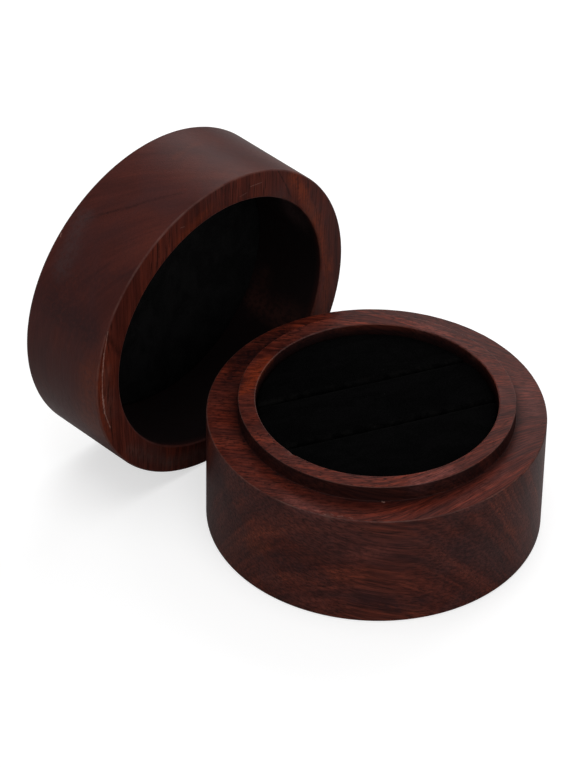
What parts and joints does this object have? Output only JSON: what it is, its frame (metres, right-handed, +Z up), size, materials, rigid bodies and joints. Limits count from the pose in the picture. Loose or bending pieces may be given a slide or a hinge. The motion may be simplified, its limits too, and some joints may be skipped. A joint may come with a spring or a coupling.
{
  "type": "ring display box",
  "caption": "Round turned-wood ring box: a base whose spigot rings a slotted velvet pad, and a lined lift-off lid standing on its wall beside it.",
  "frame": {"origin": "on the table, on the axis of the base, at the centre of its flat foot", "axes": "+Z up along the axis of the base; +X along the axis of the standing lid, the way its mouth faces, so the lid is on the -X side of the base; the slots of the ring pad run 66.5 degrees from +X towards +Y"},
  "size_m": [0.0725, 0.063, 0.055],
  "materials": {
    "wood": "turned dark hardwood, satin oil",
    "velvet": "black velvet, short pile",
    "foam": "soft open foam, dark grey",
    "card": "grey board"
  },
  "bodies": {
    "base": {"base_cup": "wood", "pad_card": "card", "foam_back": "foam", "foam_middle": "foam", "foam_front": "foam", "velvet_back": "velvet", "velvet_middle": "velvet", "velvet_front": "velvet"},
    "lid": {"lid_cup": "wood", "lining_card": "card", "lining_velvet": "velvet"}
  },
  "joints": [
    {"name": "lid_lift", "type": "slide", "parent": "base", "child": "lid", "axis": [0, 0, 1], "range_m": [0, 0.06]}
  ]
}
